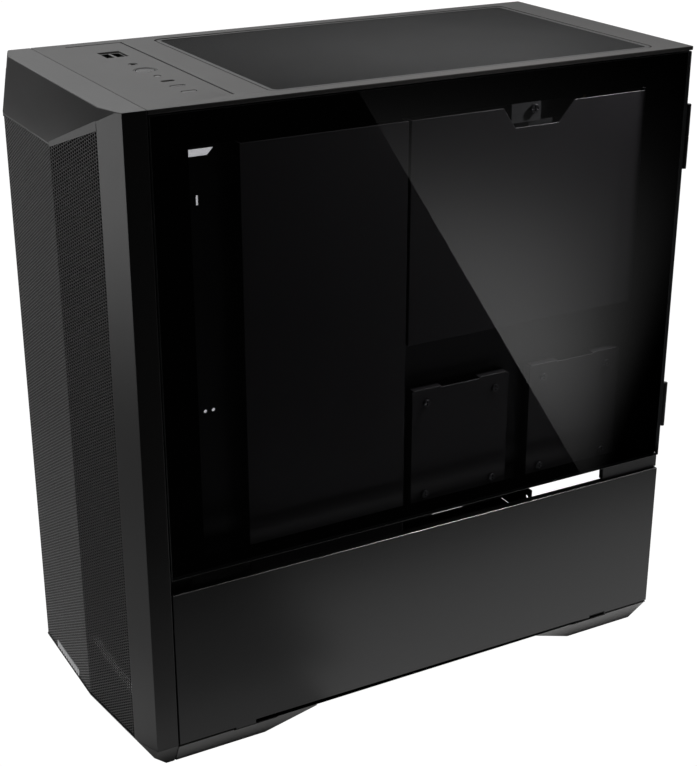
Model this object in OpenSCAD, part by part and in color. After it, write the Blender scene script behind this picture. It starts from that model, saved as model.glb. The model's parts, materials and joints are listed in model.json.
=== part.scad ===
// Desktop computer tower: steel chassis, faceted mesh front, a glass door over a steel panel on each side.
// Frame: +Z up, +X the side with the cable covers, -Y the mesh front, origin on the floor under the middle.

/* [Case] */
// Overall width
case_w = 229; // [229:0.5:230]
// Overall height
case_h = 494; // [494:0.5:495]
// Front face of the mesh
front_y = -241; // [-242:0.5:-241]
// Outer face of the rear panel
rear_y = 236.8; // [236.8:0.1:237]
// Sheet steel thickness
sheet = 1.2; // [1:0.1:1.2]

/* [Front panel] */
// Half width of the flat middle facet
ridge_x = 48.9; // [46:0.1:50]
// Half width of the perforated area
mesh_x = 92; // [88:0.5:94]
// Top edge of the middle facet
brow_z = 464.2; // [460:0.2:466]
// Bottom edge of the middle facet
chin_z = 40.2; // [38:0.2:42]
// Wall thickness of the front shell
shell_wall = 2.5; // [2:0.1:3]

/* [Doors] */
// Glass thickness
glass_t = 4; // [3.5:0.1:4]
// Bottom edge of the glass
glass_z0 = 158.5; // [157:0.5:159]
// Top edge of the glass
glass_z1 = 490.2; // [490:0.1:490.2]
// Top edge of the lower steel panels
panel_z1 = 146.5; // [145:0.5:147]
// Bottom edge of the lower steel panels
panel_z0 = 20.4; // [20.4:0.1:20.6]

/* [Fans] */
// Size of the two front fans
front_fan = 140; // [140:1:140]
// Size of the rear fan
rear_fan = 120; // [120:1:120]
// Thickness of every fan
fan_t = 25; // [25:1:25]
// Number of fan blades
blades = 9; // [7:1:11]

/* [Hidden] */
$fn = 48;
hw = case_w / 2;
seam_y = -197.5;
corner_y = -214.2;
top_front_y = -221.2;
cover_z0 = 490.9;
frame_z1 = 488.6;
frame_x = 107;
base_z0 = 18.6;
base_z1 = base_z0 + sheet;
frame_y0 = -196.9;
tray_x = 84;
shroud_z0 = 147.2;
door_y0 = -196.3;
door_y1 = 236.4;
glue = 0.1;
hinge_x = 112.5;
hinge_y = 239;
hinge_r = 2;
pin_r = 1.1;
pin_gap = 0.05;
hinges = [[400, 450], [184, 222]];
tabs = [[-151, -117], [160, 193]];
fan_z = [268.5, 410.5];
rear_fan_x = -44;
rear_fan_z = 412;
slot_pitch = 20.32;
slot_z = 172;
slots = 7;
board_y = [4, 231.33 - 69.85, 231.33];
board_z = [178, 178 + 127, 178 + 281.94];
io_y = -152.5;
chin_foot_y = -203.5;
foot_x = 104.4;
mesh_rise = 1.176;
mesh_fall = 1.0605;
mesh_back_y = -218;
mesh_edge = 1.6;
mesh_in = 0.5;
bar_half = 25;
bar_z = [42.6, 48.4];

// ---------- helpers ----------

// Box between two corners
module span(a, b) {
    translate(a) cube([b[0] - a[0], b[1] - a[1], b[2] - a[2]]);
}

// The same child on both sides of the case
module both_sides() {
    children();
    mirror([1, 0, 0]) children();
}

// Everything beyond the plane through p whose normal is n
module beyond(p, n) {
    translate(p)
        rotate([0, acos(n[2] / norm(n)), atan2(n[1], n[0])])
            translate([-400, -400, 0]) cube([800, 800, 300]);
}

// Extrude a (y, z) outline along x between x0 and x1
module along_x(x0, x1, points) {
    translate([x0, 0, 0])
        rotate([90, 0, 90]) linear_extrude(x1 - x0) polygon(points);
}

// Extrude an (x, z) outline along y between y0 and y1
module along_y(y0, y1, points) {
    translate([0, y1, 0])
        rotate([90, 0, 0]) linear_extrude(y1 - y0) polygon(points);
}

// Rectangle with round corners, centred
module round_rect(w, d, r) {
    square([w - 2 * r, d], center = true);
    square([w, d - 2 * r], center = true);
    for (sx = [-1, 1], sy = [-1, 1])
        translate([sx * (w / 2 - r), sy * (d / 2 - r)]) circle(r);
}

// ---------- steel chassis ----------

module base_plate() {
    color([0.03, 0.03, 0.033]) difference() {
        span([-112, frame_y0, base_z0], [112, rear_y - sheet, base_z1]);
        // Air intake under the power supply
        span([-64, 84, base_z0 - 1], [64, 214, base_z1 + 1]);
        // Notches for the tongues of the lower panels
        for (tab = tabs) both_sides()
            span([109.6, tab[0] - 1.2, base_z0 - 1], [113, tab[1] + 1.2, base_z1 + 1]);
        // Screw holes of the drive cage
        for (x = [-48, 70], y = [-150, -30])
            translate([x, y, base_z0 - 1]) cylinder(h = 4, r = 1.7);
    }
}

module front_frame() {
    color([0.03, 0.03, 0.033]) {
        difference() {
            span([-frame_x, frame_y0, base_z1], [frame_x, frame_y0 + sheet, frame_z1 - sheet]);
            for (z = fan_z) {
                translate([0, frame_y0 - 1, z]) rotate([-90, 0, 0]) cylinder(h = 4, r = 66, $fn = 72);
                for (x = [-62.25, 62.25], dz = [-62.25, 62.25])
                    translate([x, frame_y0 - 1, z + dz]) rotate([-90, 0, 0]) cylinder(h = 4, r = 2.15);
            }
            // Air opening into the lower chamber
            span([-70, frame_y0 - 1, 40], [70, frame_y0 + 3, 128]);
            // Holes that take the clips of the front panel
            both_sides() for (z = [60, 240, 440])
                translate([96, frame_y0 - 1, z]) rotate([-90, 0, 0]) cylinder(h = 4, r = 4.5);
        }
        both_sides() difference() {
            span([frame_x - sheet, frame_y0 + sheet, base_z1], [frame_x, -178, frame_z1 - sheet]);
            span([frame_x - 3, -191, 60], [frame_x + 1, -184, 110]);
        }
    }
}

// Window for the power supply, a rectangle that leaves metal standing round each screw hole
psu_holes = [[-65, 39.5], [-65, 113.5], [49, 113.5], [73, 49.5]];
module psu_window() {
    polygon([
        [-58, 33.5], [64, 33.5], [64, 56], [76, 56], [76, 119.5], [58, 119.5], [58, 104], [42, 104],
        [42, 119.5], [-56, 119.5], [-56, 104.5], [-70.5, 104.5], [-70.5, 49], [-58, 49]
    ]);
}

module rear_panel() {
    color([0.03, 0.03, 0.033]) {
        difference() {
            span([-frame_x, rear_y - sheet, base_z1], [frame_x, rear_y, frame_z1 - sheet]);
            translate([0, rear_y + 1, 0]) rotate([90, 0, 0]) linear_extrude(4) psu_window();
            for (p = psu_holes)
                translate([p[0], rear_y - 3, p[1]]) rotate([-90, 0, 0]) cylinder(h = 5, r = 1.9);
            // Connector opening of the main board
            span([34, rear_y - 3, 306], [78.45, rear_y + 1, 464.75]);
            // Expansion slots
            for (i = [0 : slots - 1])
                span([-34, rear_y - 3, slot_z - 6.5 + i * slot_pitch],
                     [74, rear_y + 1, slot_z + 6.5 + i * slot_pitch]);
            // Rear fan: rings of air slots with spokes left standing, and its four screw holes
            for (r = [14 : 9 : 50], q = [0 : 3])
                translate([rear_fan_x, rear_y + 1, rear_fan_z]) rotate([90, q * 90 + 6, 0])
                    rotate_extrude(angle = 78, $fn = 72) translate([r, 0]) square([6.4, 4]);
            for (x = [-52.5, 52.5], z = [-52.5, 52.5])
                translate([rear_fan_x + x, rear_y - 3, rear_fan_z + z]) rotate([-90, 0, 0])
                    cylinder(h = 5, r = 2.15);
        }
        // Side flanges that stiffen the rear edge
        both_sides() {
            span([frame_x - sheet, 222, base_z1], [frame_x, rear_y - sheet, frame_z1 - sheet]);
            span([112 - sheet, 182, panel_z1 + 0.6], [112, rear_y, glass_z0 - 0.5]);
            span([frame_x, 182, panel_z1 + 0.6], [112 - sheet, 182 + sheet, glass_z0 - 0.5]);
            span([frame_x, rear_y - sheet, panel_z1 + 0.6], [112 - sheet, rear_y, glass_z0 - 0.5]);
        }
    }
}

module top_frame() {
    color([0.03, 0.03, 0.033]) {
        difference() {
            span([-frame_x, frame_y0, frame_z1 - sheet], [frame_x, rear_y, frame_z1]);
            // Two fan openings under the top filter, with slots for the fan screws
            for (y = [-30, 118]) {
                span([-47, y - 66, frame_z1 - 3], [47, y + 66, frame_z1 + 1]);
                both_sides() for (x = [52.5, 62.25])
                    span([x - 2.2, y - 62, frame_z1 - 3], [x + 2.2, y + 62, frame_z1 + 1]);
            }
            // Clearance for the socket board
            span([-86, -172, frame_z1 - 3], [94, -134, frame_z1 + 1]);
        }
        both_sides() span([frame_x - sheet, -176, frame_z1 - 16], [frame_x, 220, frame_z1 - sheet]);
    }
}

module board_tray() {
    color([0.028, 0.028, 0.03]) difference() {
        span([tray_x, frame_y0 + sheet, shroud_z0 + sheet],
             [tray_x + sheet, rear_y - sheet, frame_z1 - sheet]);
        // Access window behind the processor, and cable openings along the front edge of the main board
        span([tray_x - 1, 96, 330], [tray_x + 3, 214, 446]);
        for (z = [190, 300, 410])
            span([tray_x - 1, -34, z - 30], [tray_x + 3, -8, z + 30]);
        span([tray_x - 1, -10, 468], [tray_x + 3, 60, 480]);
        // Notch in the top edge for the socket board
        span([tray_x - 1, -170, 476], [tray_x + 3, -136, frame_z1]);
        // Slanted slot, cable tie slots and small holes in the front strip
        along_x(tray_x - 1, tray_x + 3,
            [[-160.6, 452.4], [-145, 452.4], [-140.4, 457.4], [-160.6, 457.4]]);
        span([tray_x - 1, -160.5, 418.5], [tray_x + 3, -159, 429]);
        span([tray_x - 1, -154.4, 419], [tray_x + 3, -152.8, 426]);
        for (y = [-153.4, -147.2])
            translate([tray_x - 1, y, 269]) rotate([0, 90, 0]) cylinder(h = 4, r = 1.3);
        // Standoff holes
        for (y = board_y, z = board_z)
            translate([tray_x - 1, y, z]) rotate([0, 90, 0]) cylinder(h = 4, r = 1.5);
    }
}

module psu_shroud() {
    color([0.028, 0.028, 0.03]) {
        difference() {
            span([-frame_x + sheet + 0.2, -172, shroud_z0],
                 [tray_x + sheet, rear_y - sheet, shroud_z0 + sheet]);
            // Ventilation slots and cable passages
            for (i = [0 : 8], x = [-80, -20])
                span([x, 20 + i * 14, shroud_z0 - 1], [x + 46, 25 + i * 14, shroud_z0 + 3]);
            span([30, 150, shroud_z0 - 1], [74, 176, shroud_z0 + 3]);
            span([30, -40, shroud_z0 - 1], [74, -14, shroud_z0 + 3]);
        }
        span([-frame_x + sheet + 0.2, -172, 132], [tray_x + sheet, -172 + sheet, shroud_z0]);
    }
}

module slot_covers() {
    color([0.03, 0.03, 0.033]) for (i = [0 : slots - 1]) {
        z = slot_z + i * slot_pitch;
        difference() {
            span([-45, rear_y - 2 * sheet - 0.2, z - 9], [80, rear_y - sheet - 0.2, z + 9]);
            for (x = [-26 : 9 : 64])
                span([x, rear_y - 5, z - 4], [x + 5.5, rear_y, z + 4]);
        }
    }
}

module slot_clamp() {
    color([0.03, 0.03, 0.033])
        span([-57, rear_y, slot_z - 12], [-45.4, rear_y + 2.4, slot_z + 6 * slot_pitch + 12]);
}

module slot_screws() {
    color([0.1, 0.1, 0.1]) for (z = [slot_z - 4, slot_z + 6 * slot_pitch + 4])
        translate([-51, rear_y + 2.4, z]) rotate([-90, 0, 0]) {
            difference() {
                cylinder(h = 1.7, r = 3.6);
                translate([-3, -0.4, 0.9]) cube([6, 0.8, 2]);
            }
        }
}

module board_standoffs() {
    color([0.7, 0.55, 0.25]) for (y = board_y, z = board_z)
        translate([tray_x - 6.5, y, z]) rotate([0, 90, 0]) {
            difference() {
                cylinder(h = 6.5, r = 2.75, $fn = 6);
                translate([0, 0, -1]) cylinder(h = 5, r = 1.4);
            }
            translate([0, 0, 6.5]) cylinder(h = sheet, r = 1.45);
        }
}

module cable_grommets() {
    color([0.02, 0.02, 0.02]) for (z = [190, 300, 410])
        difference() {
            span([tray_x - 1.6, -37, z - 33], [tray_x, -5, z + 33]);
            span([tray_x - 3, -33, z - 29], [tray_x + 1, -9, z + 29]);
        }
}

// ---------- cable side ----------

cover_x = 95;
cover_z1 = 460.5;
module cable_cover_front() {
    color([0.03, 0.03, 0.033]) {
        span([cover_x, -127, 122], [cover_x + sheet, 3, cover_z1]);
        span([tray_x + sheet, -127, 150], [cover_x, -127 + sheet, cover_z1]);
        span([tray_x + sheet, 3 - sheet, 150], [cover_x, 3, cover_z1]);
    }
}

module cable_cover_rear() {
    color([0.03, 0.03, 0.033]) {
        along_x(cover_x, cover_x + sheet, [[5, 292], [215, 292], [215, cover_z1], [144.5, cover_z1],
            [131, 445], [93, 445], [82, cover_z1], [5, cover_z1]]);
        span([tray_x + sheet, 5, 292], [cover_x, 5 + sheet, cover_z1]);
        span([tray_x + sheet, 215 - sheet, 292], [cover_x, 215, cover_z1]);
        span([tray_x + sheet, 5 + sheet, 292], [cover_x, 215 - sheet, 292 + sheet]);
    }
}

module cover_clip() {
    color([0.05, 0.05, 0.055]) {
        span([tray_x + sheet, 92, 449], [tray_x + sheet + 5, 94, 466]);
        span([tray_x + sheet, 116, 449], [tray_x + sheet + 5, 118, 466]);
        difference() {
            span([tray_x + sheet + 5, 92, 447], [tray_x + sheet + 6.2, 118, 466]);
            translate([tray_x, 111.5, 456.5]) rotate([0, 90, 0]) cylinder(h = 10, r = 1.6);
        }
    }
}

module cover_screws() {
    color([0.12, 0.12, 0.12]) translate([tray_x + sheet + 6.2, 111.5, 456.5]) rotate([0, 90, 0])
        difference() {
            cylinder(h = 2.2, r = 3.4);
            translate([-2.4, -0.4, 1.2]) cube([4.8, 0.8, 2]);
            translate([-0.4, -2.4, 1.2]) cube([0.8, 4.8, 2]);
        }
}

// Sled for a 2.5 inch drive: face with rolled sides, top tabs and four screw holes
ssd_w = 87;
ssd_z = [151, 252];
module ssd_tray(y0) {
    x = tray_x + sheet;
    color([0.028, 0.028, 0.03]) {
        difference() {
            span([x + 7, y0, ssd_z[0]], [x + 8.2, y0 + ssd_w, ssd_z[1]]);
            for (y = [12.6, 12.6 + 61.7], z = [14, 14 + 76.6])
                translate([x + 5, y0 + y, ssd_z[0] + z]) rotate([0, 90, 0]) cylinder(h = 5, r = 1.65);
        }
        for (y = [y0, y0 + ssd_w - sheet])
            span([x, y, ssd_z[0]], [x + 7, y + sheet, ssd_z[1]]);
        for (y = [y0 + 1, y0 + ssd_w - 27])
            span([x + 0.2, y, ssd_z[1]], [x + 8.2, y + 25, ssd_z[1] + sheet]);
    }
}
module ssd_tray_front() { ssd_tray(11); }
module ssd_tray_rear() { ssd_tray(118); }

module ssd_screws() {
    color([0.12, 0.12, 0.12]) for (y0 = [11, 118], y = [12.6, 12.6 + 61.7], z = [14, 14 + 76.6])
        translate([tray_x + sheet + 8.2, y0 + y, ssd_z[0] + z]) rotate([0, 90, 0])
            difference() {
                cylinder(h = 1.6, r = 3);
                translate([-2, -0.35, 0.8]) cube([4, 0.7, 2]);
                translate([-0.35, -2, 0.8]) cube([0.7, 4, 2]);
            }
}

module drive_cage() {
    color([0.03, 0.03, 0.033]) difference() {
        span([-58, -158, base_z1], [82, -22, 96]);
        span([-60, -158 + sheet, base_z1 + sheet], [84, -22 - sheet, 96 - sheet]);
        for (z = [40, 76], x = [-40, 0, 40])
            span([x - 12, -160, z - 6], [x + 12, -20, z + 6]);
        for (x = [-48, 70], y = [-150, -30])
            translate([x, y, base_z1 - 1]) cylinder(h = 4, r = 1.7);
    }
    // Rails under the upper tray
    color([0.03, 0.03, 0.033]) for (y = [-158 + sheet, -22 - sheet - 3])
        span([-58, y, 57.5], [82, y + 3, 58.7]);
}

module drive_tray(z) {
    color([0.02, 0.02, 0.022]) difference() {
        span([-56, -156, z], [88, -24, z + 28]);
        span([-60, -152.5, z + 2.5], [80, -27.5, z + 30]);
        span([85, -120, z + 7], [90, -60, z + 21]);
    }
}
module drive_tray_lower() { drive_tray(base_z1 + sheet); }
module drive_tray_upper() { drive_tray(58.7); }

// ---------- fans, all blowing along Y ----------

module fan_frame(size) {
    hole = size == 140 ? 62.25 : 52.5;
    rotate([-90, 0, 0]) difference() {
        linear_extrude(fan_t) round_rect(size, size, 5);
        translate([0, 0, -1]) cylinder(h = fan_t + 2, r = size / 2 - 3, $fn = 72);
        for (x = [-hole, hole], y = [-hole, hole])
            translate([x, y, -1]) cylinder(h = fan_t + 2, r = 2.15);
        for (a = [0 : 3])
            rotate(a * 90) translate([size / 2 - 1.6, -size / 2 + 14, 4])
                cube([4, size - 28, fan_t - 8]);
    }
    // Motor seat on three struts at the back
    rotate([-90, 0, 0]) translate([0, 0, fan_t - 3.4]) {
        cylinder(h = 3.2, r = 20);
        for (a = [30, 150, 270])
            rotate(a) translate([18, -2.2, 0]) cube([size / 2 - 20, 4.4, 3.2]);
    }
}

module fan_rotor(size) {
    tip = size / 2 - 4.5;
    rotate([-90, 0, 0]) {
        translate([0, 0, 2.5]) difference() {
            cylinder(h = 18.3, r = 19.5);
            translate([0, 0, 4]) cylinder(h = 20, r = 17.5);
        }
        for (i = [0 : blades - 1])
            rotate(i * 360 / blades) translate([18.6, 0, 11.6]) rotate([34, 0, 0])
                translate([0, -11, -0.8]) cube([tip - 18.6 - 2, 22, 1.6]);
    }
}

module front_fan_frame_upper() {
    color([0.02, 0.02, 0.02]) translate([0, frame_y0 + sheet, fan_z[1]]) fan_frame(front_fan);
}
module front_fan_frame_lower() {
    color([0.02, 0.02, 0.02]) translate([0, frame_y0 + sheet, fan_z[0]]) fan_frame(front_fan);
}
module front_fan_rotor_upper() {
    color([0.03, 0.03, 0.03]) translate([0, frame_y0 + sheet, fan_z[1]]) fan_rotor(front_fan);
}
module front_fan_rotor_lower() {
    color([0.03, 0.03, 0.03]) translate([0, frame_y0 + sheet, fan_z[0]]) fan_rotor(front_fan);
}
module rear_fan_frame() {
    color([0.02, 0.02, 0.02])
        translate([rear_fan_x, rear_y - sheet - fan_t, rear_fan_z]) fan_frame(rear_fan);
}
module rear_fan_rotor() {
    color([0.03, 0.03, 0.03])
        translate([rear_fan_x, rear_y - sheet - fan_t, rear_fan_z]) fan_rotor(rear_fan);
}

module fan_screws() {
    color([0.1, 0.1, 0.1]) {
        for (z = fan_z, x = [-62.25, 62.25], dz = [-62.25, 62.25])
            translate([x, frame_y0, z + dz]) rotate([90, 0, 0]) cylinder(h = 1.2, r = 3.6);
        for (x = [-52.5, 52.5], z = [-52.5, 52.5])
            translate([rear_fan_x + x, rear_y, rear_fan_z + z]) rotate([-90, 0, 0])
                cylinder(h = 1.8, r = 3.4);
    }
}

// ---------- front panel ----------

// Plan of the front panel, drawn in by d and open at the back edge
function front_plan(d, back) = [
    [-hw + d, back], [-hw + d, corner_y + 0.68 * d], [-ridge_x + 0.19 * d, front_y + d],
    [ridge_x - 0.19 * d, front_y + d], [hw - d, corner_y + 0.68 * d], [hw - d, back]];

// Brow, face and chin seen from the side, drawn in by d
function front_side(d, back) = [
    [back, case_h - d], [top_front_y + 0.55 * d, case_h - d], [front_y + d, brow_z - 0.5 * d],
    [front_y + d, chin_z + 0.45 * d], [chin_foot_y + 1.4 * d, 0], [back, 0]];

// Solid front between two heights, drawn in by d, with the two small corner bevels under the brow
module front_solid(d, z0, z1, back) {
    difference() {
        intersection() {
            translate([0, 0, z0]) linear_extrude(z1 - z0) polygon(front_plan(d, back));
            along_x(-hw, hw, front_side(d, back));
        }
        both_sides() beyond([ridge_x, front_y + d, brow_z - d * 0.3], [0.268, -0.934, 0.234]);
    }
}

// Volume behind the perforated facets, whose top and bottom edges rise and fall towards the sides
module mesh_zone(half, edge) {
    back = mesh_back_y - front_y;
    along_x(-half, half, [
        [front_y - 10, brow_z - 10 * mesh_rise - edge],
        [mesh_back_y, brow_z + back * mesh_rise - edge],
        [mesh_back_y, chin_z - back * mesh_fall + edge],
        [front_y - 10, chin_z + 10 * mesh_fall + edge]
    ]);
}

module front_shell() {
    color([0.09, 0.09, 0.09]) difference() {
        front_solid(0, panel_z0, case_h, seam_y);
        front_solid(shell_wall, 10, case_h, seam_y + 5);
        mesh_zone(mesh_x, mesh_edge);
    }
}

module front_mesh() {
    color([0.16, 0.16, 0.165]) difference() {
        intersection() {
            difference() {
                front_solid(mesh_in, 10, case_h, seam_y);
                front_solid(mesh_in + 1, 5, case_h + 5, seam_y + 5);
            }
            mesh_zone(mesh_x, mesh_edge);
        }
        span([-bar_half, front_y - 5, bar_z[0]], [bar_half, front_y + 5, bar_z[1]]);
        // The sheet ends just above the skirt
        span([-hw, front_y - 5, 0], [hw, seam_y, panel_z0 + 0.3]);
    }
}

// Lower edge of the front panel, sloping in towards the floor on the front and on both sides
module front_skirt() {
    color([0.2, 0.2, 0.2]) difference() {
        intersection() {
            front_solid(0, 1, panel_z0, seam_y);
            along_y(-260, seam_y, [[-foot_x, 0], [foot_x, 0], [hw, panel_z0], [-hw, panel_z0]]);
        }
        span([-98, -203, 0], [98, seam_y + 1, 21]);
    }
}

module front_clips() {
    color([0.05, 0.05, 0.05]) both_sides() for (z = [60, 240, 440])
        translate([96, 0, z]) {
            translate([0, -212, 0]) rotate([-90, 0, 0]) cylinder(h = 18, r = 3.4);
            translate([-2, -218, -4]) cube([4.5, 6, 8]);
        }
}

module front_trim_bar() {
    color([0.62, 0.62, 0.63]) span([-bar_half, front_y, bar_z[0]], [bar_half, front_y + 1.6, bar_z[1]]);
}

module front_filter() {
    // Thin sheet left behind three shallow windows
    color([0.04, 0.04, 0.04]) difference() {
        span([-80, frame_y0 - 4.2, 34], [80, frame_y0 - 2, 482]);
        for (z = [40, 192, 338])
            span([-74, frame_y0 - 6, z], [74, frame_y0 - 3, z + (z == 40 ? 146 : z == 192 ? 140 : 138)]);
    }
}

// ---------- top ----------

filter_y = [-106, 211];
filter_x = 103;
module top_cover() {
    color([0.15, 0.15, 0.15]) {
        difference() {
            span([-hw, seam_y + 0.3, cover_z0], [hw, 237.2, case_h]);
            // Recess and air opening for the filter
            translate([0, (filter_y[0] + filter_y[1]) / 2, case_h - 2]) linear_extrude(4)
                round_rect(2 * filter_x, filter_y[1] - filter_y[0], 7);
            translate([0, (filter_y[0] + filter_y[1]) / 2, 480]) linear_extrude(30)
                round_rect(2 * filter_x - 12, filter_y[1] - filter_y[0] - 12, 4);
            // Shallow L-shaped groove round the sockets
            span([-103.6, -173.8, case_h - 1.6], [-102.4, -130, case_h + 1]);
            span([-103.6, -131.2, case_h - 1.6], [98.3, -130, case_h + 1]);
            // Openings for the sockets and buttons
            translate([-62, io_y, 480]) linear_extrude(30) square([20.6, 16.6], center = true);
            translate([-23, io_y, 480]) cylinder(h = 30, r = 3.1);
            translate([0, io_y, 480]) cylinder(h = 30, r = 8.2);
            translate([22, io_y, 480]) cylinder(h = 30, r = 2.5);
            translate([40, io_y, 480]) linear_extrude(30) round_rect(3.8, 9.6, 1.88);
            for (x = [57, 76])
                translate([x, io_y, 480]) linear_extrude(30) round_rect(3.8, 11, 1.88);
        }
        // Ribs that stand on the top of the chassis
        both_sides() span([103.2, -190, frame_z1], [106, 230, cover_z0]);
        span([-103.2, 218, frame_z1], [103.2, 221, cover_z0]);
        span([-103.2, -124, frame_z1], [103.2, -121, cover_z0]);
    }
}

module top_filter_frame() {
    mid = (filter_y[0] + filter_y[1]) / 2;
    len = filter_y[1] - filter_y[0] - 2.4;
    color([0.05, 0.05, 0.05]) difference() {
        translate([0, mid, case_h - 1.95]) linear_extrude(1.6) round_rect(2 * filter_x - 2.4, len, 6);
        translate([0, mid, case_h - 5]) linear_extrude(9) round_rect(2 * filter_x - 9, len - 7, 4);
    }
}

module top_filter_mesh() {
    mid = (filter_y[0] + filter_y[1]) / 2;
    len = filter_y[1] - filter_y[0] - 2.4;
    color([0.08, 0.08, 0.08]) translate([0, mid, case_h - 1.6]) linear_extrude(0.6)
        round_rect(2 * filter_x - 9, len - 7, 4);
}

module io_board() {
    color([0.02, 0.06, 0.03]) {
        span([-84, -168, 478], [90, -138, 479.6]);
        for (x = [-80, 86]) span([x - 2, -155, 479.6], [x + 2, -151, frame_z1 - sheet - 0.2]);
    }
}

module usb_ports() {
    color([0.55, 0.55, 0.57]) translate([-62, io_y, 0]) difference() {
        translate([0, 0, 479.6]) linear_extrude(case_h - 480.6) square([20, 16], center = true);
        for (y = [-4, 4])
            translate([-7, y - 2.9, 483]) cube([14, 5.8, 20]);
    }
    color([0.1, 0.2, 0.5]) translate([-62, io_y, 0]) for (y = [-4, 4])
        translate([-6, y - 1.9, 483]) cube([12, 1.6, case_h - 486]);
}

module usb_c_port() {
    color([0.5, 0.5, 0.52]) translate([40, io_y, 479.6]) difference() {
        linear_extrude(case_h - 480.3) round_rect(3.5, 9.3, 1.74);
        translate([0, 0, 6]) linear_extrude(20) round_rect(2.7, 8.5, 1.34);
    }
    color([0.05, 0.05, 0.05]) translate([40, io_y, 485.6])
        linear_extrude(case_h - 487.3) square([0.8, 6.6], center = true);
}

module audio_jack() {
    color([0.4, 0.4, 0.42]) translate([-23, io_y, 479.6]) difference() {
        cylinder(h = case_h - 480, r = 3);
        translate([0, 0, 2]) cylinder(h = 20, r = 1.8);
    }
}

module power_ring() {
    color([0.35, 0.35, 0.36]) translate([0, io_y, cover_z0 - 1.5]) difference() {
        union() {
            cylinder(h = case_h - cover_z0 + 1.3, r = 8.1);
            cylinder(h = 1.5, r = 9.5);
        }
        translate([0, 0, -1]) cylinder(h = 10, r = 7.1);
    }
}

module push_button(x, r) {
    translate([x, io_y, 482]) {
        cylinder(h = case_h - 482.3, r = r);
        cylinder(h = 2.4, r = r + 1);
    }
}
module power_button() { color([0.06, 0.06, 0.065]) push_button(0, 6.8); }
module reset_button() { color([0.3, 0.3, 0.3]) push_button(22, 2.1); }

module pill_button(x) {
    translate([x, io_y, 482]) {
        linear_extrude(case_h - 482.2) round_rect(3.1, 10.3, 1.54);
        linear_extrude(2.4) round_rect(5.4, 12.6, 2.6);
    }
}
module mode_button() { color([0.12, 0.12, 0.12]) pill_button(57); }
module color_button() { color([0.3, 0.3, 0.3]) pill_button(76); }

// ---------- doors ----------

module glass_door() {
    span([hw - glass_t, door_y0, glass_z0], [hw, door_y1, glass_z1]);
}
module glass_door_right() { color([0.05, 0.05, 0.055, 0.5]) glass_door(); }
module glass_door_left() { color([0.05, 0.05, 0.055, 0.5]) mirror([1, 0, 0]) glass_door(); }

// Leaf bonded inside the glass, with a barrel that drops over the pin
module door_hinges() {
    for (h = hinges) {
        mid = (h[0] + h[1]) / 2;
        span([hw - glass_t - 1.6, 206, h[0]], [hw - glass_t - glue, 237.2, h[1]]);
        difference() {
            union() {
                translate([hinge_x, hinge_y, mid + 0.3]) cylinder(h = h[1] - mid - 0.3, r = hinge_r);
                span([hw - glass_t - 1.6, 236.8, mid + 0.3], [hinge_x, hinge_y + 1, h[1]]);
            }
            translate([hinge_x, hinge_y, mid - 1]) cylinder(h = h[1] - mid - 2, r = pin_r + pin_gap);
        }
    }
}
module door_hinges_right() { color([0.03, 0.03, 0.033]) door_hinges(); }
module door_hinges_left() { color([0.03, 0.03, 0.033]) mirror([1, 0, 0]) door_hinges(); }

// Bracket screwed to the rear panel, carrying the hinge pin
module hinge_brackets() {
    for (h = hinges) {
        mid = (h[0] + h[1]) / 2;
        span([92, rear_y, h[0]], [frame_x - 1, rear_y + 1.6, mid]);
        span([frame_x - 1, rear_y, h[0]], [frame_x + 0.2, hinge_y + 1, mid]);
        span([frame_x + 0.2, hinge_y - 1, h[0]], [hinge_x, hinge_y + 1, mid]);
        translate([hinge_x, hinge_y, h[0]]) cylinder(h = mid - h[0], r = hinge_r);
        translate([hinge_x, hinge_y, mid]) cylinder(h = h[1] - mid - 3.5, r = pin_r);
        for (z = [h[0] + 5, mid - 5])
            translate([97, rear_y + 1.6, z]) rotate([-90, 0, 0]) cylinder(h = 1.2, r = 2.4);
    }
}
module hinge_brackets_right() { color([0.03, 0.03, 0.033]) hinge_brackets(); }
module hinge_brackets_left() { color([0.03, 0.03, 0.033]) mirror([1, 0, 0]) hinge_brackets(); }

// Round magnets that hold the doors and the lower panels shut
module door_magnets() {
    color([0.05, 0.05, 0.05]) both_sides() {
        for (z = [185, 465])
            translate([frame_x, -187, z]) rotate([0, 90, 0]) cylinder(h = 3, r = 5);
        translate([frame_x, -187, 132]) rotate([0, 90, 0]) cylinder(h = 5.8, r = 5);
        translate([frame_x, 229, 132]) rotate([0, 90, 0]) cylinder(h = 5.8, r = 5);
    }
}

// Drop-down steel panel: face, four turned-in edges and two tongues in the slots of the base
module lower_panel() {
    face = hw - 1;
    difference() {
        union() {
            span([face, door_y0, panel_z0], [hw, door_y1, panel_z1]);
            for (tab = tabs)
                span([face - 0.8, tab[0], 18.9], [hw, tab[1], panel_z0]);
        }
        // Finger slot over the rear half of each tongue
        for (tab = tabs)
            span([face - 2, (tab[0] + tab[1]) / 2, 19.8], [hw + 1, tab[1] - 1, 22]);
    }
    span([107.6, door_y0, panel_z1 - 1], [face, door_y1, panel_z1]);
    span([108.4, door_y0, panel_z0], [face, door_y1, panel_z0 + 1]);
    span([107.6, door_y0, panel_z0 + 1], [face, door_y0 + 1, panel_z1 - 1]);
    span([107.6, door_y1 - 1, panel_z0 + 1], [face, door_y1, panel_z1 - 1]);
}
module lower_panel_right() { color([0.055, 0.055, 0.058]) lower_panel(); }
module lower_panel_left() { color([0.055, 0.055, 0.058]) mirror([1, 0, 0]) lower_panel(); }

// ---------- feet ----------

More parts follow.
